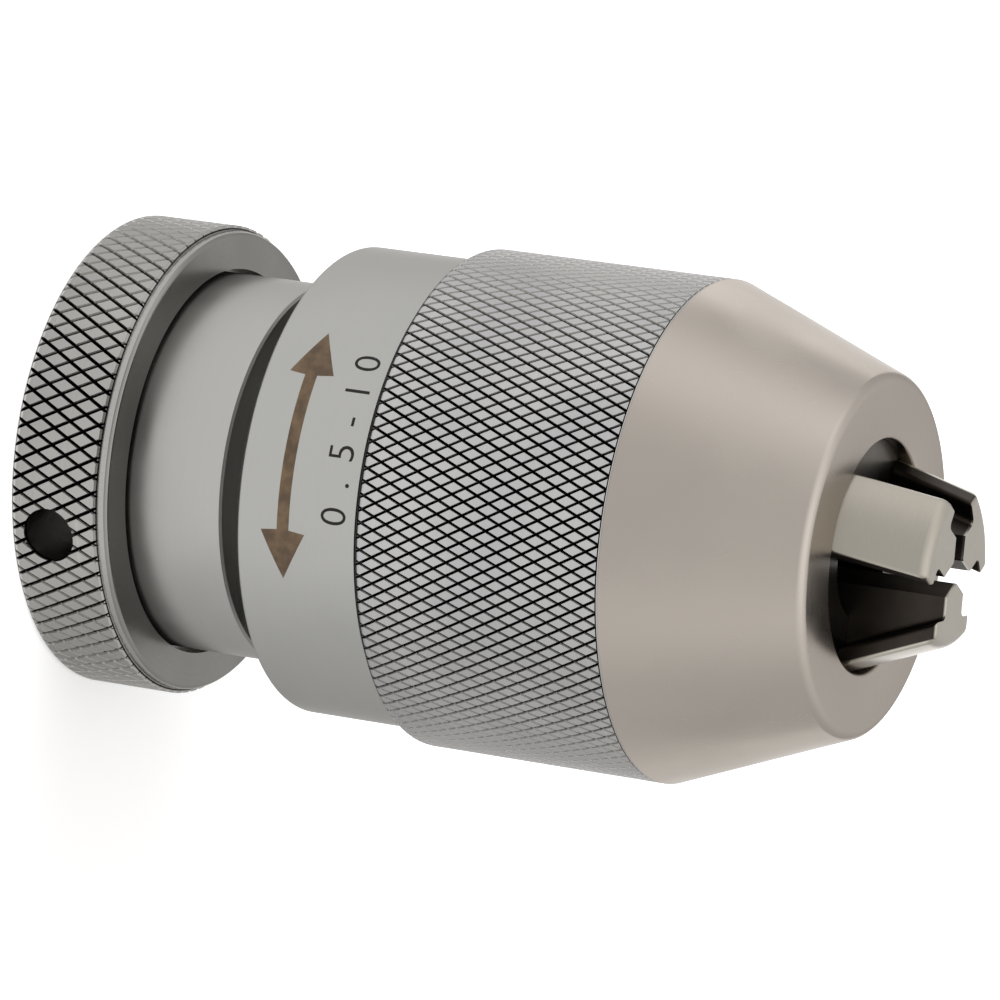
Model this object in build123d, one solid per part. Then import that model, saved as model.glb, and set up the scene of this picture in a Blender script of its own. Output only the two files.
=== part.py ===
"""Self-tightening keyless drill chuck, 10 mm capacity, with a No. 2 drill-chuck taper socket (JT2).

The chuck stands on its rear face: +Z is the chuck axis, the origin is on that axis in the rear face,
and the jaws point up.  The hood and sleeve turn on the body.  The spindle turns with them, screws
along the left-hand thread in the body, and pushes the three jaws along the cone inside the hood.
"""

import os
from math import radians, tan

from build123d import *

# ---- driving dimensions, in millimetres ----

# Body: the hub that carries everything, with the taper socket in its rear.
NECK_R = 16.5
NECK_TOP = 18.3
HUB_R = 13.5
SOCKET_MOUTH_R = 14.199 / 2
SOCKET_END_R = 12.386 / 2
SOCKET_LENGTH = 22.225
SOCKET_RELIEF = 0.7
TUBE_R = 10.5
TUBE_TOP = 44.2
THREAD_R = 6.0
THREAD_FLOOR = 24.7

# Spanner ring: pressed on the neck.
RING_R = 20.6
RING_HEIGHT = 9.3
RING_GAP = 0.4
RING_GAP_DEPTH = 1.5
SPANNER_HOLE_R = 2.4
SPANNER_HOLE_Z = 3.8
SPANNER_HOLE_ANGLE = 286.0
SPANNER_HOLE_FLOOR_R = 13.5

# Sleeve: the smooth collar that runs on the hub and is screwed into the hood.
SLEEVE_R = 20.3
SLEEVE_BOTTOM = 21.8
SLEEVE_LIP_TOP = 25.8
SLEEVE_BORE_R = 17.3
SPIGOT_R = 18.55
SPIGOT_TOP = 43.3
SEAM_WIDTH = 0.25
SEAM_DEPTH = 0.8

# Hood: the knurled grip with the cone that wedges the jaws.
HOOD_R = 21.5
HOOD_BOTTOM = 33.3
HOOD_CONE_Z = 55.8
NOSE_TOP = 71.5
NOSE_R = 15.33
NOSE_BORE_R = 9.9
NOSE_BORE_DEPTH = 1.3
HOOD_CHAMBER_R = 18.4
WEDGE_ANGLE = 21.2

# Thrust bearing between the sleeve's lip and the thrust nut.
RACE_THICKNESS = 1.5
RACE_INNER_R = 13.65
RACE_OUTER_R = 17.1
BALL_R = 1.25
BALL_COUNT = 20
BALL_CIRCLE_R = 15.4
GROOVE_DEPTH = 0.2
CAGE_HEIGHT = 1.3
NUT_HEIGHT = 5.0
NUT_THREAD_R = 13.2
LOCK_SCREW_R = 1.0

# Jaws: T-shaped bars whose backs slide in the cone.
JAW_COUNT = 3
JAW_TIP = 78.8
JAW_WIDTH = 7.2
JAW_WEB = 3.6
JAW_PLATE = 1.5
JAW_BACK_R = 10.0
JAW_ROOT_R = 0.5
JAW_EDGE_R = 0.4
JAW_TIP_R = 1.1
JAW_GRIP_R = 1.25
JAW_LAND = 0.2
JAW_REAR = 59.2
FOOT_INNER = 2.9
FOOT_OUTER = 7.2
FOOT_WIDTH = 5.6
FOOT_NECK = 3.4

# Jaw guide and spindle, which hold and push the jaws.
GUIDE_BORE_R = 11.3
GUIDE_MOUTH_R = 5.3
GUIDE_SHOULDER = 62.5
GUIDE_SLOT_BOTTOM = 48.8
GUIDE_BOTTOM = 43.35
GUIDE_PIN_R = 1.0
GUIDE_PIN_LENGTH = 5.0
SPINDLE_HEAD_R = 11.0
SPINDLE_HEAD_TOP = 58.9
SPINDLE_HEAD_BOTTOM = 54.1
SPINDLE_BOTTOM = 34.7
SLOT_FLOOR = 55.4
SLOT_CEILING = 57.4

# Clearances.
RUNNING = 0.05
SLIDING = 0.05
SEATED = 0.03

# ---- values that follow from them ----

GUIDE_FACE = NOSE_TOP - NOSE_BORE_DEPTH
SLOPE = tan(radians(WEDGE_ANGLE))
CHAMBER_TOP = GUIDE_FACE - (HOOD_CHAMBER_R - NOSE_BORE_R) / SLOPE
REAR_RACE_Z = SLEEVE_LIP_TOP
BALL_Z = REAR_RACE_Z + RACE_THICKNESS - GROOVE_DEPTH + BALL_R + SEATED
FRONT_RACE_Z = BALL_Z + BALL_R - GROOVE_DEPTH + SEATED
NUT_Z = FRONT_RACE_Z + RACE_THICKNESS
BACK_SAG = JAW_BACK_R - (JAW_BACK_R**2 - (JAW_WIDTH / 2) ** 2) ** 0.5
PLATE_DEPTH = JAW_PLATE + BACK_SAG


def turned(points):
    """A ring or shaft: a closed outline of (radius, height) points, turned about the chuck axis."""
    outline = make_face(Polyline([*points, points[0]]))
    return revolve(Plane.XZ * outline, Axis.Z)


def rim(solid, radius, height):
    """The circular edges of a turned solid at one radius and height."""
    return [
        edge
        for edge in solid.edges().filter_by(GeomType.CIRCLE)
        if abs(edge.radius - radius) < 0.01 and abs(edge.center().Z - height) < 0.01
    ]


def radial_hole(radius, from_r, to_r, height, angle):
    """A cylinder that points outwards from the axis."""
    hole = Cylinder(radius, to_r - from_r, align=(Align.CENTER, Align.CENTER, Align.MIN))
    return Rot(0, 0, angle) * Pos(from_r, 0, height) * Rot(0, 90, 0) * hole


def chuck_body():
    """Hub with the taper socket behind, the spindle's thread bore in front and a neck for the ring."""
    thread_r = THREAD_R + RUNNING
    body = turned(
        [
            (SOCKET_MOUTH_R, 0),
            (NECK_R, 0),
            (NECK_R, NECK_TOP),
            (HUB_R, NECK_TOP),
            (HUB_R, FRONT_RACE_Z + RACE_THICKNESS),
            (NUT_THREAD_R, FRONT_RACE_Z + RACE_THICKNESS),
            (NUT_THREAD_R, NUT_Z + NUT_HEIGHT),
            (TUBE_R, NUT_Z + NUT_HEIGHT),
            (TUBE_R, TUBE_TOP),
            (thread_r, TUBE_TOP),
            (thread_r, THREAD_FLOOR),
            (0, THREAD_FLOOR),
            (0, SOCKET_LENGTH + SOCKET_RELIEF),
            (SOCKET_END_R, SOCKET_LENGTH + SOCKET_RELIEF),
            (SOCKET_END_R, SOCKET_LENGTH),
        ]
    )
    body = chamfer(rim(body, NECK_R, NECK_TOP), 0.2)
    body = chamfer(rim(body, SOCKET_MOUTH_R, 0), 0.4)
    body = chamfer(rim(body, TUBE_R, TUBE_TOP), 0.4)
    return body - radial_hole(
        SPANNER_HOLE_R, SPANNER_HOLE_FLOOR_R, RING_R, SPANNER_HOLE_Z, SPANNER_HOLE_ANGLE
    )


def spanner_ring():
    """Knurled ring on the neck, with a hole for the pin of a hook spanner."""
    ring = turned(
        [
            (NECK_R, 0),
            (RING_R, 0),
            (RING_R, RING_HEIGHT),
            (NECK_R + RING_GAP, RING_HEIGHT),
            (NECK_R + RING_GAP, RING_HEIGHT - RING_GAP_DEPTH),
            (NECK_R, RING_HEIGHT - RING_GAP_DEPTH),
        ]
    )
    ring = fillet(rim(ring, RING_R, 0), 0.8)
    ring = chamfer(rim(ring, RING_R, RING_HEIGHT), 0.4)
    return ring - radial_hole(
        SPANNER_HOLE_R, NECK_R - 1, RING_R + 1, SPANNER_HOLE_Z, SPANNER_HOLE_ANGLE
    )


def sleeve():
    """Smooth collar: its lip runs on the hub, its spigot screws into the hood, and a seam parts them."""
    collar = turned(
        [
            (HUB_R + RUNNING, SLEEVE_BOTTOM),
            (SLEEVE_R, SLEEVE_BOTTOM),
            (SLEEVE_R, HOOD_BOTTOM - SEAM_WIDTH),
            (SLEEVE_R - SEAM_DEPTH, HOOD_BOTTOM - SEAM_WIDTH),
            (SLEEVE_R - SEAM_DEPTH, HOOD_BOTTOM - SEATED),
            (SPIGOT_R, HOOD_BOTTOM - SEATED),
            (SPIGOT_R, SPIGOT_TOP),
            (SLEEVE_BORE_R, SPIGOT_TOP),
            (SLEEVE_BORE_R, SLEEVE_LIP_TOP),
            (HUB_R + RUNNING, SLEEVE_LIP_TOP),
        ]
    )
    collar = fillet(rim(collar, SLEEVE_R, SLEEVE_BOTTOM), 0.4)
    collar = chamfer(rim(collar, SLEEVE_R, HOOD_BOTTOM - SEAM_WIDTH), 0.15)
    return chamfer(rim(collar, SPIGOT_R, SPIGOT_TOP), 0.4)


def hood():
    """Grip and nose: a tube whose front half is bored to the cone that wedges the jaws."""
    spigot_bore_r = SPIGOT_R + SEATED
    shell = turned(
        [
            (spigot_bore_r, HOOD_BOTTOM),
            (HOOD_R, HOOD_BOTTOM),
            (HOOD_R, HOOD_CONE_Z),
            (NOSE_R, NOSE_TOP),
            (NOSE_BORE_R, NOSE_TOP),
            (NOSE_BORE_R, GUIDE_FACE),
            (HOOD_CHAMBER_R, CHAMBER_TOP),
            (HOOD_CHAMBER_R, SPIGOT_TOP),
            (spigot_bore_r, SPIGOT_TOP),
        ]
    )
    shell = chamfer(rim(shell, HOOD_R, HOOD_BOTTOM), 0.9)
    shell = fillet(rim(shell, NOSE_R, NOSE_TOP), 1.0)
    shell = fillet(rim(shell, NOSE_BORE_R, NOSE_TOP), 0.35)
    return shell - guide_pin_shapes(SEATED)


def race(height, groove_above):
    """Flat bearing washer with a shallow groove for the balls in one face."""
    washer = turned(
        [
            (RACE_INNER_R, height),
            (RACE_OUTER_R, height),
            (RACE_OUTER_R, height + RACE_THICKNESS),
            (RACE_INNER_R, height + RACE_THICKNESS),
        ]
    )
    ball_z = height + RACE_THICKNESS - GROOVE_DEPTH + BALL_R
    if not groove_above:
        ball_z = height + GROOVE_DEPTH - BALL_R
    return washer - Pos(0, 0, ball_z) * Torus(BALL_CIRCLE_R, BALL_R)


def ball_places():
    """Centres of the bearing balls, one for each pocket of the cage."""
    return [
        Rot(0, 0, 360 / BALL_COUNT * number) * Pos(BALL_CIRCLE_R, 0, BALL_Z) for number in range(BALL_COUNT)
    ]


def ball_cage():
    """Thin ring with a pocket for each ball."""
    low = BALL_Z - CAGE_HEIGHT / 2
    ring = turned(
        [
            (RACE_INNER_R, low),
            (RACE_OUTER_R, low),
            (RACE_OUTER_R, low + CAGE_HEIGHT),
            (RACE_INNER_R, low + CAGE_HEIGHT),
        ]
    )
    for place in ball_places():
        ring -= place * Cylinder(BALL_R + RUNNING, 2 * CAGE_HEIGHT)
    return ring


def lock_screw_shape(radius):
    """Axial grub screw on the joint line of the nut and the body, so that neither can turn."""
    screw_r = NUT_THREAD_R
    length = NUT_HEIGHT - 1.0
    return Pos(screw_r, 0, NUT_Z + 1.0) * Cylinder(
        radius, length, align=(Align.CENTER, Align.CENTER, Align.MIN)
    )


def thrust_nut():
    """Nut screwed on the body in front of the bearing; it takes the pull of the hood."""
    top = NUT_Z + NUT_HEIGHT
    nut = turned(
        [
            (NUT_THREAD_R, NUT_Z),
            (RACE_OUTER_R, NUT_Z),
            (RACE_OUTER_R, top),
            (NUT_THREAD_R, top),
        ]
    )
    nut = chamfer(rim(nut, RACE_OUTER_R, top), 0.4)
    for number in range(2):
        slot = Box(4 * NUT_THREAD_R, 2.5, 3.0)
        nut -= Rot(0, 0, 60 + 60 * number) * Pos(0, 0, top) * slot
    return nut - lock_screw_shape(LOCK_SCREW_R)


def lock_screw():
    """Grub screw with a hexagon socket."""
    screw = lock_screw_shape(LOCK_SCREW_R)
    top = NUT_Z + NUT_HEIGHT
    socket = extrude(RegularPolygon(0.5, 6), 1.2)
    return screw - Pos(NUT_THREAD_R, 0, top - 1.2) * socket


def guide_pin_shapes(clearance):
    """Two dowel pins on the joint line of the guide and the hood, so that they turn together."""
    pins = Part()
    for number in range(2):
        angle = 60 + 180 * number
        pin = Cylinder(
            GUIDE_PIN_R + clearance, GUIDE_PIN_LENGTH, align=(Align.CENTER, Align.CENTER, Align.MIN)
        )
        pins += Rot(0, 0, angle) * Pos(HOOD_CHAMBER_R, 0, GUIDE_BOTTOM) * pin
    return pins


def incline(angle):
    """Frame of one jaw's slide: X away from the cone wall, Z forwards along it."""
    return Rot(0, 0, angle) * Pos(NOSE_BORE_R - SLIDING, 0, GUIDE_FACE) * Rot(0, -WEDGE_ANGLE, 0)


def root_edges(bar, depth, half_width):
    """The two edges where the web of a T-shaped bar meets its plate."""
    return [
        edge
        for edge in bar.edges().filter_by(Axis.Z)
        if abs(edge.center().X + depth) < 0.01 and abs(abs(edge.center().Y) - half_width) < 0.01
    ]


def jaw_slot(angle):
    """T-shaped passage that a jaw needs through the guide."""
    reach = 80
    plate = Pos(-PLATE_DEPTH - SLIDING, 0, 0) * Box(
        8, JAW_WIDTH + 2 * SLIDING, reach, align=(Align.MIN, Align.CENTER, Align.CENTER)
    )
    web = Box(reach, JAW_WEB + 2 * SLIDING, reach, align=(Align.MAX, Align.CENTER, Align.CENTER))
    passage = plate + web
    roots = root_edges(passage, PLATE_DEPTH + SLIDING, JAW_WEB / 2 + SLIDING)
    passage = fillet(roots, JAW_ROOT_R + SLIDING)
    passage = incline(angle) * passage
    half = Pos(0, 0, GUIDE_SLOT_BOTTOM) * Box(
        60, 60, 60, align=(Align.CENTER, Align.CENTER, Align.MIN)
    )
    side = Rot(0, 0, angle) * Box(60, 60, 200, align=(Align.MIN, Align.CENTER, Align.CENTER))
    return passage & half & side


def jaw_guide():
    """Cup that fits the hood's cone, slotted for the jaws, with a bore for the spindle's head."""
    chamber_r = HOOD_CHAMBER_R - SEATED
    cup = turned(
        [
            (GUIDE_BORE_R, GUIDE_BOTTOM),
            (chamber_r, GUIDE_BOTTOM),
            (chamber_r, CHAMBER_TOP),
            (NOSE_BORE_R - SEATED, GUIDE_FACE),
            (GUIDE_MOUTH_R, GUIDE_FACE),
            (GUIDE_MOUTH_R, GUIDE_SHOULDER),
            (GUIDE_BORE_R, GUIDE_SHOULDER),
        ]
    )
    for number in range(JAW_COUNT):
        cup -= jaw_slot(360 / JAW_COUNT * number)
    return cup - guide_pin_shapes(SEATED)


def spindle():
    """Screw with a head that has a radial T-slot for the foot of each jaw."""
    screw = turned(
        [
            (0, SPINDLE_BOTTOM),
            (THREAD_R - 0.6, SPINDLE_BOTTOM),
            (THREAD_R, SPINDLE_BOTTOM + 0.6),
            (THREAD_R, SPINDLE_HEAD_BOTTOM),
            (SPINDLE_HEAD_R, SPINDLE_HEAD_BOTTOM),
            (SPINDLE_HEAD_R, SPINDLE_HEAD_TOP),
            (0, SPINDLE_HEAD_TOP),
        ]
    )
    for number in range(JAW_COUNT):
        neck = Pos(0, 0, SLOT_CEILING) * Box(
            20, FOOT_NECK + 0.4, 5, align=(Align.MIN, Align.CENTER, Align.MIN)
        )
        wide = Pos(0, 0, SLOT_FLOOR) * Box(
            20, FOOT_WIDTH + 0.4, SLOT_CEILING - SLOT_FLOOR, align=(Align.MIN, Align.CENTER, Align.MIN)
        )
        screw -= Rot(0, 0, 360 / JAW_COUNT * number) * (neck + wide)
    return screw


def jaw(angle):
    """One jaw: a plate that slides on the cone, a web with the grip edge, and a foot for the spindle."""
    length = 60
    plate = Pos(-PLATE_DEPTH, 0, 0) * Box(
        PLATE_DEPTH, JAW_WIDTH, length, align=(Align.MIN, Align.CENTER, Align.CENTER)
    )
    plate &= Pos(-JAW_BACK_R, 0, 0) * Cylinder(JAW_BACK_R, length)
    web = Pos(-PLATE_DEPTH / 2, 0, 0) * Box(
        length, JAW_WEB, length, align=(Align.MAX, Align.CENTER, Align.CENTER)
    )
    bar = plate + web
    bar = fillet(root_edges(bar, PLATE_DEPTH, JAW_WEB / 2), JAW_ROOT_R)
    bar = incline(0) * bar

    # The grip edge is a wedge of 120 degrees with a narrow flat, so that three jaws can meet.
    flat = JAW_LAND / 2
    far = 20
    wedge = make_face(
        Polyline(
            (JAW_GRIP_R, -flat),
            (JAW_GRIP_R, flat),
            (JAW_GRIP_R + far, flat + far * tan(radians(60)) * 0.98),
            (JAW_GRIP_R + far, -flat - far * tan(radians(60)) * 0.98),
            (JAW_GRIP_R, -flat),
        )
    )
    bar &= Pos(0, 0, JAW_REAR) * extrude(wedge, JAW_TIP - JAW_REAR)
    tip_edges = bar.edges().filter_by_position(Axis.Z, JAW_TIP - 0.01, JAW_TIP + 0.01)
    bar = fillet(tip_edges.sort_by(Axis.X)[-1], JAW_TIP_R)
    plate_edges = [
        edge
        for edge in bar.edges()
        if edge.length > JAW_WIDTH and abs(abs(edge.center().Y) - JAW_WIDTH / 2) < 0.05
    ]
    bar = fillet(plate_edges, JAW_EDGE_R)

    foot = Pos(FOOT_INNER, 0, SLOT_FLOOR + 0.2) * Box(
        FOOT_OUTER - FOOT_INNER,
        FOOT_WIDTH,
        SLOT_CEILING - SLOT_FLOOR - 0.4,
        align=(Align.MIN, Align.CENTER, Align.MIN),
    )
    neck = Pos(FOOT_INNER, 0, SLOT_CEILING - 0.2) * Box(
        FOOT_OUTER - FOOT_INNER,
        FOOT_NECK,
        JAW_REAR - SLOT_CEILING + 0.2,
        align=(Align.MIN, Align.CENTER, Align.MIN),
    )
    return Rot(0, 0, angle) * (bar + foot + neck)


def save(name, shape):
    """Write one sub-part as its own STEP file."""
    shape.label = name
    export_step(shape, f"parts/{name}.step")


def main():
    os.makedirs("parts", exist_ok=True)
    save("chuck_body", chuck_body() - lock_screw_shape(LOCK_SCREW_R))
    save("spanner_ring", spanner_ring())
    save("sleeve", sleeve())
    save("hood", hood())
    save("rear_race", race(REAR_RACE_Z, groove_above=True))
    save("front_race", race(FRONT_RACE_Z, groove_above=False))
    save("ball_cage", ball_cage())
    for number, place in enumerate(ball_places(), start=1):
        save(f"ball_{number:02d}", place * Sphere(BALL_R))
    save("thrust_nut", thrust_nut())
    save("lock_screw", lock_screw())
    save("jaw_guide", jaw_guide())
    save("guide_pins", guide_pin_shapes(0))
    save("spindle", spindle())
    for number in range(JAW_COUNT):
        save(f"jaw_{number + 1}", jaw(360 / JAW_COUNT * number))


main()
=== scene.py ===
from math import cos, pi, radians, sin, tan

import bpy
from mathutils import Matrix, Vector


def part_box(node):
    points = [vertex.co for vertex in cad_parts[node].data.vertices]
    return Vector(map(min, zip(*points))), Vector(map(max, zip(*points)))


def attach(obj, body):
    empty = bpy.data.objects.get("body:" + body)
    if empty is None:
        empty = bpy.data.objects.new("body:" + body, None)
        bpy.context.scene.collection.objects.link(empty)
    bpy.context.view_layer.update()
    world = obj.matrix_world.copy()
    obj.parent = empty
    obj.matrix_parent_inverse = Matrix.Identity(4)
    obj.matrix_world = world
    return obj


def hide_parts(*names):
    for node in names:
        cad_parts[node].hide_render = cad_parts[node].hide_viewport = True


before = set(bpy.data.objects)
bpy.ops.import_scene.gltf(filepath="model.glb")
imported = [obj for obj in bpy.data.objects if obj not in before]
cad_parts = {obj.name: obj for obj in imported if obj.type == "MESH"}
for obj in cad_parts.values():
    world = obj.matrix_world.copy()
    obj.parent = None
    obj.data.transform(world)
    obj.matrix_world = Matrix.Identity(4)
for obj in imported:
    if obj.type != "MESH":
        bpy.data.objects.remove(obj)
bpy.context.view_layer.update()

MM = 0.001

# ---------------------------------------------------------------------------
# Camera. It looks down at the side of the chuck from 25 degrees, rolled so
# that the chuck lies across the frame with its jaws to the right.
# ---------------------------------------------------------------------------
CAMERA_AZIMUTH = radians(262.0)
CAMERA_ELEVATION = radians(24.81)
CAMERA_ROLL = radians(98.29)
CAMERA_DISTANCE = 564.2 * MM
CAMERA_LENS = 240.8
CONE_START_Z = 55.8 * MM
AIM_BACK = 17.3 * MM
AIM_UP = 2.7 * MM

to_camera = Vector((
    cos(CAMERA_ELEVATION) * cos(CAMERA_AZIMUTH),
    cos(CAMERA_ELEVATION) * sin(CAMERA_AZIMUTH),
    sin(CAMERA_ELEVATION),
))
level_right = Vector((0, 0, 1)).cross(to_camera).normalized()
level_up = to_camera.cross(level_right)
camera_right = cos(CAMERA_ROLL) * level_right + sin(CAMERA_ROLL) * level_up
camera_up = to_camera.cross(camera_right)
aim = Vector((0, 0, CONE_START_Z)) - AIM_BACK * camera_right + AIM_UP * camera_up

camera_data = bpy.data.cameras.new("camera")
camera_data.lens = CAMERA_LENS
camera_data.sensor_width = 36
camera_data.clip_start = 0.01
camera_data.clip_end = 20
camera = bpy.data.objects.new("camera", camera_data)
bpy.context.scene.collection.objects.link(camera)
turn = Matrix((camera_right, camera_up, to_camera)).transposed().to_4x4()
camera.matrix_world = Matrix.Translation(aim + CAMERA_DISTANCE * to_camera) @ turn
bpy.context.scene.camera = camera


# ---------------------------------------------------------------------------
# Stage. A white sweep under the chuck and a bright, soft room round it, whose
# glows put the long highlights on the polished cone.
# ---------------------------------------------------------------------------
def linear(hex_colour):
    """An sRGB hex value as the linear colour that a shader takes."""
    parts = [int(hex_colour[i:i + 2], 16) / 255 for i in (1, 3, 5)]
    parts = [p / 12.92 if p <= 0.04045 else ((p + 0.055) / 1.055) ** 2.4 for p in parts]
    return (*parts, 1.0)


def node(tree, kind, settings=None, links=None):
    """Add a node, set its properties or input values, and link inputs to other nodes' outputs."""
    added = tree.nodes.new(kind)
    for name, value in (settings or {}).items():
        if isinstance(name, int) or name in added.inputs:
            added.inputs[name].default_value = value
        else:
            setattr(added, name, value)
    for name, source in (links or {}).items():
        tree.links.new(source, added.inputs[name])
    return added


FLOOR_SIZE = 3.0
FLOOR_WHITE = "#e6e6e6"
FLOOR_GLOW = 0.82
SHADED_SIDE = Vector((cos(radians(4)), sin(radians(4)), 0))
SHADE = 0.5

bpy.ops.mesh.primitive_plane_add(size=FLOOR_SIZE, location=(0, 0, -0.02 * MM))
floor = bpy.context.active_object
floor.name = "floor"
floor_paper = bpy.data.materials.new("white_paper_sweep")
floor_paper.use_nodes = True
floor_shader = floor_paper.node_tree.nodes["Principled BSDF"]
floor_shader.inputs["Base Color"].default_value = linear(FLOOR_WHITE)
floor_shader.inputs["Roughness"].default_value = 0.9
floor_shader.inputs["Emission Color"].default_value = linear("#ffffff")
paper = floor_paper.node_tree
on_paper = node(paper, "ShaderNodeTexCoord").outputs["Object"]
away_from_chuck = node(paper, "ShaderNodeVectorMath", {"operation": "NORMALIZE"},
                       {0: on_paper}).outputs[0]
towards_shade = node(paper, "ShaderNodeVectorMath", {"operation": "DOT_PRODUCT", 1: SHADED_SIDE},
                     {0: away_from_chuck}).outputs["Value"]
shade = node(paper, "ShaderNodeMapRange",
             {"interpolation_type": "SMOOTHSTEP", "From Min": 0.3, "From Max": 1.0,
              "To Min": FLOOR_GLOW, "To Max": FLOOR_GLOW - SHADE},
             {"Value": towards_shade}).outputs[0]
paper.links.new(shade, floor_shader.inputs["Emission Strength"])
floor.data.materials.append(floor_paper)

# The room is an even pale grey. Each glow is a soft light: azimuth and elevation in degrees, how
# much brighter than the room it is, and how narrow it is.
ROOM_LIGHT = 0.66
ROOM_COLOUR = (1.0, 0.99, 0.98, 1)
GLOWS = ((182, 22, 0.58, 9), (312, 22, 0.24, 14), (262, 78, 0.75, 3), (82, 28, 0.2, 6))

room = bpy.data.worlds.new("studio")
room.use_nodes = True
bpy.context.scene.world = room
bpy.context.scene.view_settings.view_transform = "Standard"
direction = node(room.node_tree, "ShaderNodeTexCoord").outputs["Generated"]
light_sum = node(room.node_tree, "ShaderNodeValue").outputs["Value"]
light_sum.default_value = ROOM_LIGHT
for azimuth, elevation, strength, narrowness in GLOWS:
    towards = Vector((
        cos(radians(elevation)) * cos(radians(azimuth)),
        cos(radians(elevation)) * sin(radians(azimuth)),
        sin(radians(elevation)),
    ))
    facing = node(room.node_tree, "ShaderNodeVectorMath", {"operation": "DOT_PRODUCT", 1: towards},
                  {0: direction}).outputs["Value"]
    lit_half = node(room.node_tree, "ShaderNodeMath", {"operation": "MAXIMUM", 1: 0.0},
                    {0: facing}).outputs[0]
    falloff = node(room.node_tree, "ShaderNodeMath", {"operation": "POWER", 1: narrowness},
                   {0: lit_half}).outputs[0]
    light_sum = node(room.node_tree, "ShaderNodeMath", {"operation": "MULTIPLY_ADD", 1: strength},
                     {0: falloff, 2: light_sum}).outputs[0]
background = room.node_tree.nodes["Background"]
background.inputs["Color"].default_value = ROOM_COLOUR
room.node_tree.links.new(light_sum, background.inputs["Strength"])


# ---------------------------------------------------------------------------
# Hood. A hardened steel tube, diamond-knurled, then turned and polished to a
# cone with a mirror-ground nose; it is screwed on the sleeve and the jaws
# slide along the cone inside it.
# ---------------------------------------------------------------------------
def deselect():
    """Leave edit mode and select nothing."""
    if bpy.context.object and bpy.context.object.mode != "OBJECT":
        bpy.ops.object.mode_set(mode="OBJECT")
    bpy.ops.object.select_all(action="DESELECT")


def choose(piece, mode, wanted):
    """Select, in edit mode, the vertices, edges or faces of a piece that the test accepts."""
    bpy.ops.object.mode_set(mode="EDIT")
    bpy.ops.mesh.select_mode(type=mode)
    bpy.ops.mesh.select_all(action="DESELECT")
    bpy.ops.object.mode_set(mode="OBJECT")
    parts = {"VERT": piece.data.vertices, "EDGE": piece.data.edges, "FACE": piece.data.polygons}[mode]
    for part in parts:
        part.select = wanted(part)
    bpy.ops.object.mode_set(mode="EDIT")


def apply_modifiers(piece):
    """Apply every modifier of a piece, in order."""
    bpy.ops.object.mode_set(mode="OBJECT")
    for name in [m.name for m in piece.modifiers]:
        bpy.ops.object.modifier_apply(modifier=name)


def knurled_bar(
        name, groove_r, depth, pitch_count, row_height, rows, low, groove_half, top, plain_r, drift):
    """A round bar with raised diamonds, made by poking a grid of cells and insetting each diamond.

    Past the knurl the bar is plain, up to its top. Drift is how far the rows creep round the bar in
    each metre of length.
    """
    deselect()
    bpy.ops.mesh.primitive_cylinder_add(
        vertices=pitch_count, radius=groove_r, depth=row_height * rows, end_fill_type="NOTHING",
        location=(0, 0, low + row_height * rows / 2),
    )
    bar = bpy.context.active_object
    bar.name = name
    bpy.ops.object.transform_apply(location=True, rotation=True, scale=True)
    choose(bar, "EDGE", lambda e: abs(
        bar.data.vertices[e.vertices[0]].co.z - bar.data.vertices[e.vertices[1]].co.z) > row_height / 2)
    bpy.ops.mesh.subdivide(number_cuts=rows - 1)
    bpy.ops.mesh.select_all(action="SELECT")
    bpy.ops.mesh.poke()
    bpy.ops.object.mode_set(mode="OBJECT")
    slanted = row_height / 2

    def is_cell_edge(edge):
        a, b = (bar.data.vertices[v].co for v in edge.vertices)
        rise = abs(a.z - b.z)
        across = (a.xy - b.xy).length
        inside = low + 0.1 * row_height < (a.z + b.z) / 2 < low + (rows - 0.1) * row_height
        return inside and (rise < slanted * 0.1 or across < groove_r * pi / pitch_count * 0.2)

    choose(bar, "EDGE", is_cell_edge)
    bpy.ops.mesh.dissolve_edges(use_verts=False)
    choose(bar, "FACE", lambda f: True)
    bpy.ops.mesh.inset(use_individual=True, thickness=groove_half, depth=depth)
    choose(bar, "EDGE", lambda e: all(
        abs(bar.data.vertices[v].co.z - (low + rows * row_height)) < 1e-6 for v in e.vertices))
    knurl_end = low + rows * row_height
    bpy.ops.mesh.extrude_region_move(TRANSFORM_OT_translate={"value": (0, 0, 0)})
    bpy.ops.transform.resize(
        value=(plain_r / groove_r, plain_r / groove_r, 1), center_override=(0, 0, knurl_end))
    bpy.ops.mesh.extrude_region_move(TRANSFORM_OT_translate={"value": (0, 0, top - knurl_end)})
    bpy.ops.mesh.fill()
    choose(bar, "EDGE", lambda e: all(abs(bar.data.vertices[v].co.z - low) < 1e-6 for v in e.vertices))
    bpy.ops.mesh.fill()
    bpy.ops.mesh.select_all(action="SELECT")
    bpy.ops.mesh.normals_make_consistent(inside=False)
    bpy.ops.object.mode_set(mode="OBJECT")
    twist = bar.modifiers.new("drift", "SIMPLE_DEFORM")
    twist.deform_method = "TWIST"
    twist.deform_axis = "Z"
    twist.angle = drift * (top - low) / groove_r
    apply_modifiers(bar)
    return bar


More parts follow.
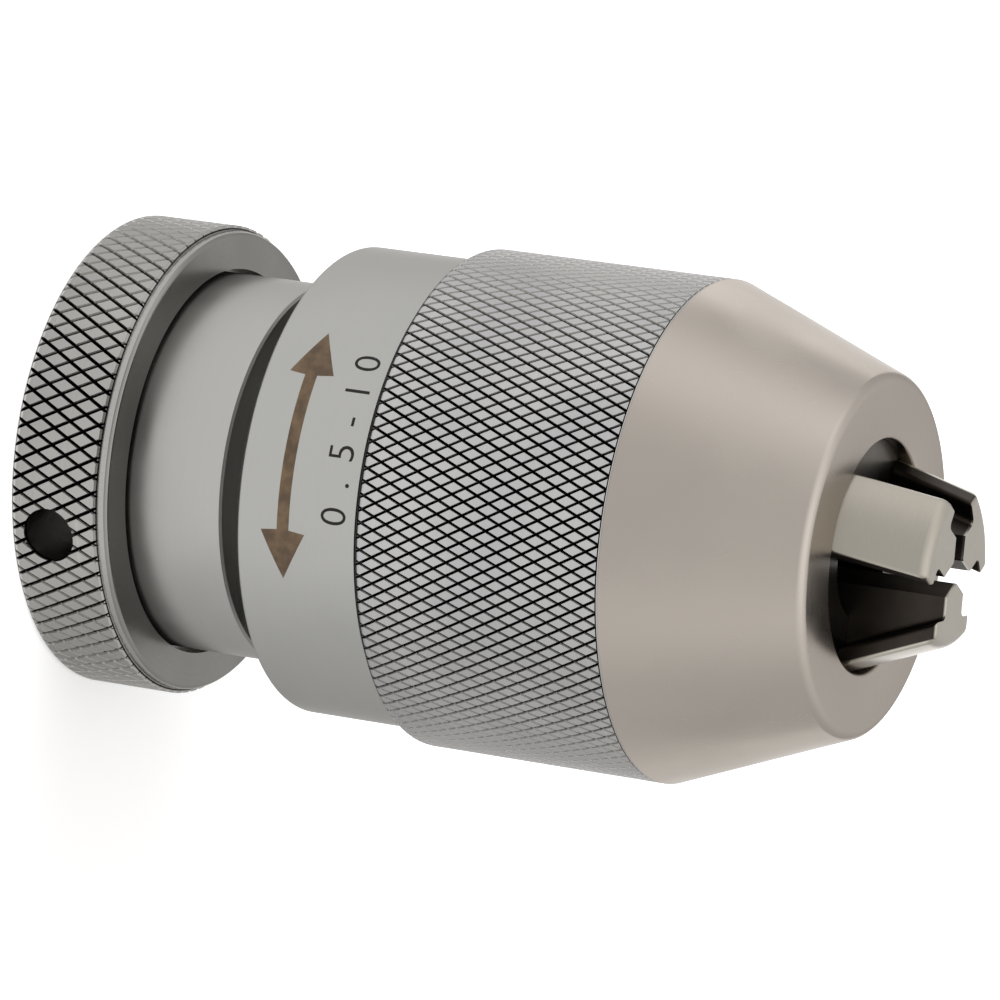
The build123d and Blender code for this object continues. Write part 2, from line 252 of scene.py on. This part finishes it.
def turned_form(name, outline, steps):
    """A closed ring: an outline of (radius, height) points spun once round the chuck axis."""
    deselect()
    mesh = bpy.data.meshes.new(name)
    mesh.from_pydata(
        [(r, 0, z) for r, z in outline], [(i, (i + 1) % len(outline)) for i in range(len(outline))], [])
    form = bpy.data.objects.new(name, mesh)
    bpy.context.scene.collection.objects.link(form)
    bpy.context.view_layer.objects.active = form
    form.select_set(True)
    bpy.ops.object.mode_set(mode="EDIT")
    bpy.ops.mesh.select_mode(type="VERT")
    bpy.ops.mesh.select_all(action="SELECT")
    bpy.ops.mesh.spin(steps=steps, angle=2 * pi, center=(0, 0, 0), axis=(0, 0, 1))
    bpy.ops.mesh.select_all(action="SELECT")
    bpy.ops.mesh.remove_doubles(threshold=1e-7)
    bpy.ops.mesh.normals_make_consistent(inside=False)
    bpy.ops.object.mode_set(mode="OBJECT")
    return form


def cut(piece, tool, operation):
    """Cut a piece with another shape, as on a lathe or drill, and remove the tool."""
    bpy.ops.object.select_all(action="DESELECT")
    bpy.context.view_layer.objects.active = piece
    piece.select_set(True)
    boolean = piece.modifiers.new("cut", "BOOLEAN")
    boolean.operation = operation
    boolean.solver = "EXACT"
    boolean.object = tool
    bpy.ops.object.modifier_apply(modifier="cut")
    bpy.data.objects.remove(tool)


def arc(centre_r, centre_z, radius, start, end, steps):
    """Points of a rounded corner of an outline, from one angle to another."""
    return [
        (
            centre_r + radius * cos(radians(start + (end - start) * i / steps)),
            centre_z + radius * sin(radians(start + (end - start) * i / steps)),
        )
        for i in range(steps + 1)
    ]


hood_low, hood_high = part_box("hood")
HOOD_R = hood_high.x
NOSE_TOP = hood_high.z
HOOD_BOTTOM = hood_low.z
NOSE_R = 15.33 * MM
CONE_TILT = 21.4
NOSE_ROUND = 1.0 * MM
NOSE_INSET = 0.68 * NOSE_ROUND
NOSE_BORE_R = 9.9 * MM
NOSE_BORE_ROUND = 0.35 * MM
GUIDE_FACE = NOSE_TOP - 1.3 * MM
WEDGE_SLOPE = tan(radians(21.2))
CHAMBER_R = 18.4 * MM
CHAMBER_BOTTOM = 43.3 * MM
SPIGOT_BORE_R = 18.58 * MM
HOOD_ROUND = 0.9 * MM
CREST_SPARE = 0.02 * MM
BAR_SPARE = 2 * MM
KNURL_FACET_ANGLE = radians(14)
KNURL_DEPTH = 0.36 * MM
KNURL_GROOVE_HALF = 0.12 * MM
KNURL_COUNT = 118
KNURL_ROWS = 10
KNURL_LOW = HOOD_BOTTOM - 0.4 * MM
KNURL_ROW = (CONE_START_Z - 0.05 * MM - KNURL_LOW) / KNURL_ROWS
KNURL_DRIFT = -0.072
CONE_STOCK = 0.1 * MM
HOOD_FACETS = 224

nose_arc = arc(NOSE_R - NOSE_INSET, NOSE_TOP - NOSE_ROUND, NOSE_ROUND, CONE_TILT, 90, 10)
bore_arc = arc(NOSE_BORE_R + NOSE_BORE_ROUND, NOSE_TOP - NOSE_BORE_ROUND, NOSE_BORE_ROUND, 90, 180, 6)
hood_outline = [
    (SPIGOT_BORE_R, HOOD_BOTTOM),
    *arc(HOOD_R - HOOD_ROUND, HOOD_BOTTOM + HOOD_ROUND, HOOD_ROUND, -90, 0, 8),
    (HOOD_R + CREST_SPARE, HOOD_BOTTOM + HOOD_ROUND + 0.1 * MM),
    (HOOD_R + CREST_SPARE, CONE_START_Z - 0.15 * MM),
    (HOOD_R, CONE_START_Z - 0.1 * MM),
    (HOOD_R, CONE_START_Z),
    *nose_arc,
    *bore_arc,
    (NOSE_BORE_R, GUIDE_FACE),
    (CHAMBER_R, GUIDE_FACE - (CHAMBER_R - NOSE_BORE_R) / WEDGE_SLOPE),
    (CHAMBER_R, CHAMBER_BOTTOM),
    (SPIGOT_BORE_R, CHAMBER_BOTTOM),
]
hood = knurled_bar(
    "knurled_hood", HOOD_R - KNURL_DEPTH, KNURL_DEPTH, KNURL_COUNT, KNURL_ROW, KNURL_ROWS,
    KNURL_LOW, KNURL_GROOVE_HALF, NOSE_TOP + BAR_SPARE, HOOD_R + CONE_STOCK, KNURL_DRIFT,
)
cut(hood, turned_form("hood_turning", hood_outline, HOOD_FACETS), "INTERSECT")
bpy.ops.object.shade_smooth_by_angle(angle=KNURL_FACET_ANGLE)
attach(hood, "hood")
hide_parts("hood")


EDGE_TINT = (0.62, 0.61, 0.6, 1)
PATCH_SIZE = 9 * MM


def lathe_steel(name, colour, deep_colour, roughness, mark_width, mark_depth, anisotropic):
    """Steel finished on a lathe: fine rings round the axis, and faint broad patches of tone.

    Returns the material with the outputs that masks need: the base colour, the distance from the
    chuck axis and the height along it.
    """
    material = bpy.data.materials.new(name)
    material.use_nodes = True
    tree = material.node_tree
    shader = tree.nodes["Principled BSDF"]
    shader.inputs["Metallic"].default_value = 1.0
    shader.inputs["Anisotropic"].default_value = anisotropic
    shader.inputs["Specular Tint"].default_value = EDGE_TINT
    place = node(tree, "ShaderNodeTexCoord").outputs["Object"]
    split = node(tree, "ShaderNodeSeparateXYZ", links={0: place})
    across = node(tree, "ShaderNodeCombineXYZ", links={0: split.outputs[0], 1: split.outputs[1]}).outputs[0]
    radius = node(tree, "ShaderNodeVectorMath", {"operation": "LENGTH"}, {0: across}).outputs["Value"]
    height = split.outputs[2]
    section = node(tree, "ShaderNodeCombineXYZ", links={0: radius, 1: height}).outputs[0]
    marks = node(tree, "ShaderNodeTexNoise", {"Scale": 1 / mark_width, "Detail": 4.0, "Roughness": 0.7},
                 {"Vector": section}).outputs[0]
    patches = node(tree, "ShaderNodeTexNoise", {"Scale": 1 / PATCH_SIZE, "Detail": 2.0, "Roughness": 0.5},
                   {"Vector": place}).outputs[0]
    faint = node(tree, "ShaderNodeMath", {"operation": "MULTIPLY", 1: 0.4}, {0: marks}).outputs[0]
    tone = node(tree, "ShaderNodeMath", {"operation": "ADD"}, {0: patches, 1: faint}).outputs[0]
    blend = node(tree, "ShaderNodeMapRange",
                 {"interpolation_type": "SMOOTHERSTEP", "From Min": 0.3, "From Max": 1.1}, {"Value": tone})
    base = node(tree, "ShaderNodeMix", {"data_type": "RGBA", 6: linear(deep_colour), 7: linear(colour)},
                {0: blend.outputs[0]}).outputs[2]
    dull = node(tree, "ShaderNodeMapRange",
                {"interpolation_type": "SMOOTHERSTEP", "From Min": 0.15, "From Max": 0.85,
                 "To Min": roughness * 0.8, "To Max": roughness * 1.25}, {"Value": patches}).outputs[0]
    bump = node(tree, "ShaderNodeBump", {"Strength": 1.0, "Distance": mark_depth}, {"Height": marks})
    tree.links.new(base, shader.inputs["Base Color"])
    tree.links.new(dull, shader.inputs["Roughness"])
    tree.links.new(bump.outputs[0], shader.inputs["Normal"])
    return material, base, radius, height


# Painted shade and highlight in the knurl's grooves: the floors are painted near black, a painted shade; the
# upper walls are painted brighter, partly burnish and partly a painted highlight.
PAINTED_SHADE_BLACK = "#17191c"
GROOVE_BURNISH_AND_HIGHLIGHT = "#b1b0ad"
BURNISH_AND_HIGHLIGHT_START = 0.04
BURNISH_AND_HIGHLIGHT_FULL = 0.12
GROOVE_SHADE_START = 0.46
GROOVE_SHADE_FULL = 0.6
GROOVE_END = 1.06


def paint_groove_shade_and_highlight(material, base, radius, height, crest_r, depth, low, high):
    """Paint the knurl's grooves: brighter upper walls, partly burnish and partly a painted highlight,
    and floors painted near black, a painted shade.

    The grooves lie between the crest radius and the depth under it, and between two heights. The
    limits of the painted highlight and the painted shade are parts of that depth.
    """
    tree = material.node_tree
    shader = tree.nodes["Principled BSDF"]
    # Upper groove walls painted brighter: burnish together with a painted highlight.
    under_crest = node(tree, "ShaderNodeMapRange",
                       {"From Min": crest_r - BURNISH_AND_HIGHLIGHT_FULL * depth,
                        "From Max": crest_r - BURNISH_AND_HIGHLIGHT_START * depth},
                       {"Value": radius}).outputs[0]
    burnish_and_highlight = node(tree, "ShaderNodeMix", {"data_type": "RGBA", 6: linear(GROOVE_BURNISH_AND_HIGHLIGHT)},
                     {0: under_crest, 7: base}).outputs[2]
    # Painted shade: the groove floors are painted near black.
    above_painted_shade = node(tree, "ShaderNodeMapRange",
                      {"From Min": crest_r - GROOVE_SHADE_FULL * depth, "From Max": crest_r - GROOVE_SHADE_START * depth},
                      {"Value": radius}).outputs[0]
    groove = node(tree, "ShaderNodeMix", {"data_type": "RGBA", 6: linear(PAINTED_SHADE_BLACK)},
                  {0: above_painted_shade, 7: burnish_and_highlight}).outputs[2]
    under_grooves = node(tree, "ShaderNodeMath", {"operation": "LESS_THAN", 1: crest_r - GROOVE_END * depth},
                         {0: radius}).outputs[0]
    from_middle = node(tree, "ShaderNodeMath", {"operation": "SUBTRACT", 1: (low + high) / 2},
                       {0: height}).outputs[0]
    distance = node(tree, "ShaderNodeMath", {"operation": "ABSOLUTE"}, {0: from_middle}).outputs[0]
    past_end = node(tree, "ShaderNodeMath", {"operation": "GREATER_THAN", 1: (high - low) / 2},
                    {0: distance}).outputs[0]
    outside = node(tree, "ShaderNodeMath", {"operation": "MAXIMUM"},
                   {0: under_grooves, 1: past_end}).outputs[0]
    colour = node(tree, "ShaderNodeMix", {"data_type": "RGBA"}, {0: outside, 6: groove, 7: base}).outputs[2]
    tree.links.new(colour, shader.inputs["Base Color"])
    return colour


# Hood steel, knurled and then polished: the lands of the grip are a cool mid grey, the cone is
# brighter and warmer and shows the room in long soft bands.
GRIP_GREY = "#9d9d9c"
GRIP_GREY_DEEP = "#8f8f90"
POLISHED_WARM = "#bbb3aa"
# Painted shade: the hood's rounded rear corner, against the sleeve, is painted near black up to these parts
# of its rounding.
CORNER_SHADE_FULL = 0.42
CORNER_SHADE_END = 0.6

hood_steel, grip, hood_radius, hood_height = lathe_steel(
    "polished_hood_steel", GRIP_GREY, GRIP_GREY_DEEP, 0.26, 0.22 * MM, 0.0008 * MM, 0.35)
tree = hood_steel.node_tree
on_cone = node(tree, "ShaderNodeMapRange",
               {"From Min": CONE_START_Z - 0.1 * MM, "From Max": CONE_START_Z + 0.15 * MM},
               {"Value": hood_height}).outputs[0]
cone_tone = node(tree, "ShaderNodeMix",
                 {"data_type": "RGBA", "blend_type": "MULTIPLY", 0: 0.12, 7: linear(POLISHED_WARM)},
                 {6: grip}).outputs[2]
cone_colour = node(tree, "ShaderNodeMix", {"data_type": "RGBA", 0: 0.88, 7: linear(POLISHED_WARM)},
                   {6: cone_tone}).outputs[2]
clean_hood = node(tree, "ShaderNodeMix", {"data_type": "RGBA"},
                  {0: on_cone, 6: grip, 7: cone_colour}).outputs[2]
knurled_hood = paint_groove_shade_and_highlight(
    hood_steel, clean_hood, hood_radius, hood_height, HOOD_R, KNURL_DEPTH,
    HOOD_BOTTOM + 0.9 * HOOD_ROUND, CONE_START_Z - 0.15 * MM)
# Painted shade: the rear corner of the hood is painted near black.
past_corner = node(tree, "ShaderNodeMapRange",
                   {"From Min": HOOD_BOTTOM + CORNER_SHADE_FULL * HOOD_ROUND,
                    "From Max": HOOD_BOTTOM + CORNER_SHADE_END * HOOD_ROUND},
                   {"Value": hood_height}).outputs[0]
hood_colour = node(tree, "ShaderNodeMix", {"data_type": "RGBA", 6: linear(PAINTED_SHADE_BLACK)},
                   {0: past_corner, 7: knurled_hood}).outputs[2]
tree.links.new(hood_colour, tree.nodes["Principled BSDF"].inputs["Base Color"])
hood.data.materials.clear()
hood.data.materials.append(hood_steel)

# ---------------------------------------------------------------------------
# Spanner ring. A knurled steel ring pressed on the neck of the body, with a
# drilled hole for the pin of a hook spanner; its front face is turned.
# ---------------------------------------------------------------------------
ring_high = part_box("spanner_ring")[1]
RING_R = ring_high.x
RING_TOP = ring_high.z
NECK_R = 16.5 * MM
RING_REAR_ROUND = 0.8 * MM
RING_SHOULDER = 0.85 * MM
RING_FRONT_ROUND = 0.45 * MM
RING_GAP = 0.4 * MM
RING_GAP_DEPTH = 1.5 * MM
RING_KNURL_COUNT = 88
RING_KNURL_ROW = 2.76 * MM
RING_KNURL_ROWS = 4
RING_KNURL_DEPTH = 0.45 * MM
RING_KNURL_GROOVE_HALF = 0.15 * MM
RING_KNURL_LOW = -0.3 * MM
RING_FACETS = 216
RING_SHOULDER_R = RING_R - RING_KNURL_DEPTH
SPANNER_HOLE_R = 2.4 * MM
SPANNER_HOLE_Z = 3.8 * MM
SPANNER_HOLE_ANGLE = radians(286)
DRILL_LENGTH = 10 * MM
DRILL_CENTRE_R = 19 * MM

ring_outline = [
    (NECK_R, 0),
    *arc(RING_R - RING_REAR_ROUND, RING_REAR_ROUND, RING_REAR_ROUND, -90, 0, 6),
    (RING_R + CREST_SPARE, RING_TOP - RING_SHOULDER - 0.25 * MM),
    (RING_SHOULDER_R, RING_TOP - RING_SHOULDER),
    *arc(RING_SHOULDER_R - RING_FRONT_ROUND, RING_TOP - RING_FRONT_ROUND, RING_FRONT_ROUND, 0, 90, 6),
    (NECK_R + RING_GAP, RING_TOP),
    (NECK_R + RING_GAP, RING_TOP - RING_GAP_DEPTH),
    (NECK_R, RING_TOP - RING_GAP_DEPTH),
]
ring = knurled_bar(
    "knurled_spanner_ring", RING_SHOULDER_R, RING_KNURL_DEPTH, RING_KNURL_COUNT, RING_KNURL_ROW,
    RING_KNURL_ROWS, RING_KNURL_LOW, RING_KNURL_GROOVE_HALF, RING_TOP + BAR_SPARE,
    RING_R - 0.6 * RING_KNURL_DEPTH, 0.0,
)
cut(ring, turned_form("ring_turning", ring_outline, RING_FACETS), "INTERSECT")
deselect()
bpy.ops.mesh.primitive_cylinder_add(
    vertices=48, radius=SPANNER_HOLE_R, depth=DRILL_LENGTH,
    location=(
        DRILL_CENTRE_R * cos(SPANNER_HOLE_ANGLE), DRILL_CENTRE_R * sin(SPANNER_HOLE_ANGLE), SPANNER_HOLE_Z),
    rotation=(0, pi / 2, SPANNER_HOLE_ANGLE),
)
cut(ring, bpy.context.active_object, "DIFFERENCE")
bpy.ops.object.shade_smooth_by_angle(angle=KNURL_FACET_ANGLE)
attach(ring, "body")
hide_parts("spanner_ring")

ring_steel, ring_base, ring_radius, ring_height = lathe_steel(
    "turned_ring_steel", "#92918e", "#878684", 0.24, 0.3 * MM, 0.0006 * MM, 0.3)
# The ring's grooves get the same painted shade on their floors and painted highlight, with burnish, on their
# walls.
paint_groove_shade_and_highlight(
    ring_steel, ring_base, ring_radius, ring_height, RING_R, RING_KNURL_DEPTH,
    0.5 * RING_REAR_ROUND, RING_TOP - RING_SHOULDER - 0.05 * MM)
ring.data.materials.clear()
ring.data.materials.append(ring_steel)

# ---------------------------------------------------------------------------
# Sleeve. A smooth steel collar, ground to a satin grey and screwed into the
# hood; a turning arrow is etched on it and the capacity is marked in figures.
# ---------------------------------------------------------------------------
sleeve_low, sleeve_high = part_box("sleeve")
SLEEVE_R = sleeve_high.x
SLEEVE_BOTTOM = sleeve_low.z
LIP_BORE_R = 13.55 * MM
LIP_TOP = SLEEVE_BOTTOM + 4 * MM
SLEEVE_BORE_R = 17.3 * MM
SEATED = 0.03 * MM
SPIGOT_R = SPIGOT_BORE_R - SEATED
SPIGOT_CHAMFER = 0.4 * MM
SLEEVE_ROUND = 0.4 * MM
SEAM_CHAMFER = 0.15 * MM
SEAM_WIDTH = 0.25 * MM
SEAM_R = SLEEVE_R - 0.8 * MM
SLEEVE_FACETS = 360

sleeve_outline = [
    (LIP_BORE_R, SLEEVE_BOTTOM),
    *arc(SLEEVE_R - SLEEVE_ROUND, SLEEVE_BOTTOM + SLEEVE_ROUND, SLEEVE_ROUND, -90, 0, 8),
    (SLEEVE_R, HOOD_BOTTOM - SEAM_WIDTH - SEAM_CHAMFER),
    (SLEEVE_R - SEAM_CHAMFER, HOOD_BOTTOM - SEAM_WIDTH),
    (SEAM_R, HOOD_BOTTOM - SEAM_WIDTH),
    (SEAM_R, HOOD_BOTTOM - SEATED),
    (SPIGOT_R, HOOD_BOTTOM - SEATED),
    (SPIGOT_R, sleeve_high.z - SPIGOT_CHAMFER),
    (SPIGOT_R - SPIGOT_CHAMFER, sleeve_high.z),
    (SLEEVE_BORE_R, sleeve_high.z),
    (SLEEVE_BORE_R, LIP_TOP),
    (LIP_BORE_R, LIP_TOP),
]
sleeve = turned_form("turned_sleeve", sleeve_outline, SLEEVE_FACETS)
bpy.ops.object.shade_smooth_by_angle(angle=radians(25))
sleeve_steel, *_ = lathe_steel(
    "satin_sleeve_steel", "#959592", "#8f8f8c", 0.38, 0.16 * MM, 0.0008 * MM, 0.4)
sleeve.data.materials.append(sleeve_steel)
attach(sleeve, "hood")
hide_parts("sleeve")

MARK_PROUD = 0.012 * MM
ARROW_Z = sleeve_low.z + 4.4 * MM
ARROW_MIDDLE = radians(257)
ARROW_LENGTH = 22 * MM
ARROW_HEAD_LENGTH = 4.2 * MM
ARROW_HEAD_HALF = 2.1 * MM
ARROW_SHAFT_HALF = 0.55 * MM
FIGURES = "0.5-10"
FIGURE_SIZE = 3.4 * MM
FIGURE_SPACING = 2.7 * MM
FIGURE_DEPTH = 1 * MM
FIGURE_THINNING = 0.03 * MM
FIGURES_Z = sleeve_low.z + 9.2 * MM
FIGURES_MIDDLE = radians(252)


def arrow_half_height(along):
    """Half height of the double-headed arrow at a distance along it from its middle."""
    from_tip = ARROW_LENGTH / 2 - abs(along)
    if from_tip > ARROW_HEAD_LENGTH:
        return ARROW_SHAFT_HALF
    return ARROW_HEAD_HALF * max(from_tip, 0) / ARROW_HEAD_LENGTH


deselect()
bpy.ops.mesh.primitive_cylinder_add(
    vertices=2 * SLEEVE_FACETS, radius=SLEEVE_R, depth=2 * ARROW_SHAFT_HALF, end_fill_type="NOTHING",
    location=(0, 0, ARROW_Z),
)
arrow = bpy.context.active_object
arrow.name = "turning_arrow"
bpy.ops.object.transform_apply(location=True, rotation=True, scale=True)


def along_arrow(point):
    """Distance round the sleeve from the arrow's middle."""
    turned_by = Vector((cos(ARROW_MIDDLE), sin(ARROW_MIDDLE))).angle_signed(point.xy)
    return -SLEEVE_R * turned_by


choose(arrow, "FACE", lambda f: abs(along_arrow(f.center)) > ARROW_LENGTH / 2)
bpy.ops.mesh.delete(type="FACE")
bpy.ops.object.mode_set(mode="OBJECT")
for vertex in arrow.data.vertices:
    side = 1 if vertex.co.z > ARROW_Z else -1
    vertex.co.z = ARROW_Z + side * arrow_half_height(along_arrow(vertex.co))
choose(arrow, "VERT", lambda v: True)
bpy.ops.mesh.remove_doubles(threshold=0.001 * MM)
bpy.ops.object.mode_set(mode="OBJECT")
thickness = arrow.modifiers.new("thickness", "SOLIDIFY")
thickness.thickness = MARK_PROUD
thickness.offset = 1.0
apply_modifiers(arrow)

figures = []
for number, figure in enumerate(FIGURES):
    deselect()
    bpy.ops.object.text_add()
    text = bpy.context.active_object
    text.data.body = figure
    text.data.align_x = "CENTER"
    text.data.align_y = "CENTER"
    text.data.size = FIGURE_SIZE
    text.data.extrude = FIGURE_DEPTH
    text.data.offset = -FIGURE_THINNING
    bpy.ops.object.convert(target="MESH")
    angle = FIGURES_MIDDLE - (number - (len(FIGURES) - 1) / 2) * FIGURE_SPACING / SLEEVE_R
    outward = Vector((cos(angle), sin(angle), 0))
    reading = Vector((sin(angle), -cos(angle), 0))
    stand = Matrix((reading, Vector((0, 0, -1)), outward)).transposed().to_4x4()
    text.matrix_world = Matrix.Translation(SLEEVE_R * outward + Vector((0, 0, FIGURES_Z))) @ stand
    figures.append(text)
deselect()
for text in figures:
    text.select_set(True)
bpy.context.view_layer.objects.active = figures[0]
bpy.ops.object.join()
numerals = bpy.context.active_object
numerals.name = "capacity_figures"
bpy.ops.object.transform_apply(location=True, rotation=True, scale=True)
choose(numerals, "VERT", lambda v: True)
bpy.ops.mesh.remove_doubles(threshold=0.001 * MM)
bpy.ops.object.mode_set(mode="OBJECT")
mark_shell = [
    (SLEEVE_R, FIGURES_Z - FIGURE_SIZE),
    (SLEEVE_R + MARK_PROUD, FIGURES_Z - FIGURE_SIZE),
    (SLEEVE_R + MARK_PROUD, FIGURES_Z + FIGURE_SIZE),
    (SLEEVE_R, FIGURES_Z + FIGURE_SIZE),
]
cut(numerals, turned_form("mark_shell", mark_shell, SLEEVE_FACETS), "INTERSECT")


def etched_mark(name, colour, edge_colour, roughness):
    """A laser-etched mark: an oxide film whose tone is uneven where the beam passed over it."""
    material = bpy.data.materials.new(name)
    material.use_nodes = True
    tree = material.node_tree
    shader = tree.nodes["Principled BSDF"]
    shader.inputs["Metallic"].default_value = 0.6
    place = node(tree, "ShaderNodeTexCoord").outputs["Object"]
    passes = node(tree, "ShaderNodeTexNoise", {"Scale": 1 / (1.2 * MM), "Detail": 3.0, "Roughness": 0.5},
                  {"Vector": place}).outputs[0]
    tone = node(tree, "ShaderNodeMapRange", {"From Min": 0.35, "From Max": 0.65},
                {"Value": passes}).outputs[0]
    base = node(tree, "ShaderNodeMix", {"data_type": "RGBA", 6: linear(edge_colour), 7: linear(colour)},
                {0: tone}).outputs[2]
    dull = node(tree, "ShaderNodeMapRange", {"To Min": roughness * 0.8, "To Max": roughness * 1.3},
                {"Value": passes}).outputs[0]
    tree.links.new(base, shader.inputs["Base Color"])
    tree.links.new(dull, shader.inputs["Roughness"])
    return material


for piece, material in (
    (arrow, etched_mark("etched_brown_oxide", "#66543f", "#4b3d2f", 0.5)),
    (numerals, etched_mark("etched_black_oxide", "#1f1d1c", "#131211", 0.6)),
):
    piece.data.materials.clear()
    piece.data.materials.append(material)
    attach(piece, "hood")


# ---------------------------------------------------------------------------
# Body. The turned steel hub inside everything, with a smooth ground neck
# between ring and sleeve and the taper socket in its rear face.
# ---------------------------------------------------------------------------
def dress(names, material):
    """Give a material to parts that keep their own shape."""
    for name in names:
        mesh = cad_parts[name].data
        mesh.materials.clear()
        mesh.materials.append(material)


body_steel, *_ = lathe_steel(
    "ground_body_steel", "#979694", "#90908e", 0.34, 0.2 * MM, 0.0006 * MM, 0.4)
dress(["chuck_body"], body_steel)

# ---------------------------------------------------------------------------
# Jaw guide. A hardened steel cup inside the nose, slotted for the jaws; it is
# seen as the dark, ground floor of the nose between them.
# ---------------------------------------------------------------------------
guide_steel, *_ = lathe_steel(
    "hardened_guide_steel", "#7c7873", "#5d5a56", 0.28, 0.3 * MM, 0.001 * MM, 0.2)
dress(["jaw_guide"], guide_steel)

# ---------------------------------------------------------------------------
# Jaws. Three hardened steel bars of T section, their sides painted near black, a painted shade;
# their backs, which slide on the cone, and their front ends are ground bright.
# ---------------------------------------------------------------------------
JAW_ANGLES = {"jaw_1": 0.0, "jaw_2": 120.0, "jaw_3": 240.0}
WEDGE_ANGLE = radians(21.2)
JAW_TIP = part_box("jaw_1")[1].z
BACK_SAG = 0.67 * MM
BACK_HEIGHT = (NOSE_BORE_R - 0.05 * MM) * cos(WEDGE_ANGLE) + GUIDE_FACE * sin(WEDGE_ANGLE)
BACK_EDGE = BACK_HEIGHT - BACK_SAG - 0.2 * MM
TIP_EDGE = JAW_TIP - 0.1 * MM
BACK_BLEND = 0.12 * MM
TIP_BLEND = 0.15 * MM
GROUND_BRIGHT = "#b0aba1"
GROUND_DEEP = "#a6a198"
JAW_SIDE_SHADE_BLACK = "#2a2623"
JAW_SIDE_SHADE_BROWN = "#45403b"

for name, angle in JAW_ANGLES.items():
    material = bpy.data.materials.new("hardened_" + name + "_steel")
    material.use_nodes = True
    tree = material.node_tree
    shader = tree.nodes["Principled BSDF"]
    shader.inputs["Metallic"].default_value = 1.0
    place = node(tree, "ShaderNodeTexCoord").outputs["Object"]
    own = node(tree, "ShaderNodeVectorRotate", {"rotation_type": "Z_AXIS", "Angle": -radians(angle)},
               {"Vector": place}).outputs[0]
    outwards = node(tree, "ShaderNodeVectorMath",
                    {"operation": "DOT_PRODUCT", 1: (cos(WEDGE_ANGLE), 0, sin(WEDGE_ANGLE))},
                    {0: own}).outputs["Value"]
    height = node(tree, "ShaderNodeSeparateXYZ", links={0: place}).outputs[2]
    on_back = node(tree, "ShaderNodeMapRange",
                   {"From Min": BACK_EDGE - BACK_BLEND, "From Max": BACK_EDGE},
                   {"Value": outwards}).outputs[0]
    on_tip = node(tree, "ShaderNodeMapRange",
                  {"From Min": TIP_EDGE - TIP_BLEND, "From Max": TIP_EDGE},
                  {"Value": height}).outputs[0]
    ground = node(tree, "ShaderNodeMath", {"operation": "MAXIMUM"}, {0: on_back, 1: on_tip}).outputs[0]
    stretched = node(tree, "ShaderNodeVectorMath",
                     {"operation": "MULTIPLY", 1: (1.0, 1.0, 14.0)}, {0: own}).outputs[0]
    grind = node(tree, "ShaderNodeTexNoise", {"Scale": 1 / (1.6 * MM), "Detail": 4.0, "Roughness": 0.65},
                 {"Vector": stretched}).outputs[0]
    patches = node(tree, "ShaderNodeTexNoise", {"Scale": 1 / (3 * MM), "Detail": 3.0},
                   {"Vector": own}).outputs[0]
    bright = node(tree, "ShaderNodeMix",
                  {"data_type": "RGBA", 6: linear(GROUND_DEEP), 7: linear(GROUND_BRIGHT)},
                  {0: grind}).outputs[2]
    # Painted shade: everything but the ground back and tip is painted near black.
    black = node(tree, "ShaderNodeMix",
                 {"data_type": "RGBA", 6: linear(JAW_SIDE_SHADE_BLACK), 7: linear(JAW_SIDE_SHADE_BROWN)},
                 {0: patches}).outputs[2]
    colour = node(tree, "ShaderNodeMix", {"data_type": "RGBA"}, {0: ground, 6: black, 7: bright}).outputs[2]
    dull = node(tree, "ShaderNodeMapRange", {"To Min": 0.42, "To Max": 0.3}, {"Value": ground}).outputs[0]
    bump = node(tree, "ShaderNodeBump", {"Strength": 1.0, "Distance": 0.002 * MM},
                {"Height": grind}).outputs[0]
    tree.links.new(colour, shader.inputs["Base Color"])
    tree.links.new(dull, shader.inputs["Roughness"])
    tree.links.new(bump, shader.inputs["Normal"])
    dress([name], material)

# ---------------------------------------------------------------------------
# Spindle and thrust nut. Turned steel parts inside the chuck, left as they
# came off the lathe and covered in a film of oil, so they are grey and even.
# ---------------------------------------------------------------------------
inner_steel, *_ = lathe_steel(
    "oiled_inner_steel", "#8b8a86", "#74736f", 0.32, 0.35 * MM, 0.003 * MM, 0.3)
dress(["spindle", "thrust_nut"], inner_steel)

# ---------------------------------------------------------------------------
# Thrust bearing and guide pins. Hardened, polished bearing steel that mirrors
# what is round it; the balls run in a pale machined brass cage.
# ---------------------------------------------------------------------------
bearing_steel, *_ = lathe_steel(
    "polished_bearing_steel", "#c9c9c7", "#bcbcba", 0.1, 0.3 * MM, 0.0003 * MM, 0.0)
balls = [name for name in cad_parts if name.startswith("ball_") and name != "ball_cage"]
dress(["rear_race", "front_race", "guide_pins", *balls], bearing_steel)

cage_brass, *_ = lathe_steel(
    "machined_cage_brass", "#c9a25c", "#a98443", 0.3, 0.25 * MM, 0.002 * MM, 0.2)
dress(["ball_cage"], cage_brass)

# ---------------------------------------------------------------------------
# Lock screw. A small grub screw between nut and body, blackened in hot oxide,
# which is almost black and slightly glossy with a few paler rubbed spots.
# ---------------------------------------------------------------------------
black_oxide, *_ = lathe_steel(
    "black_oxide_screw", "#2b2b2d", "#161617", 0.38, 0.2 * MM, 0.002 * MM, 0.0)
dress(["lock_screw"], black_oxide)
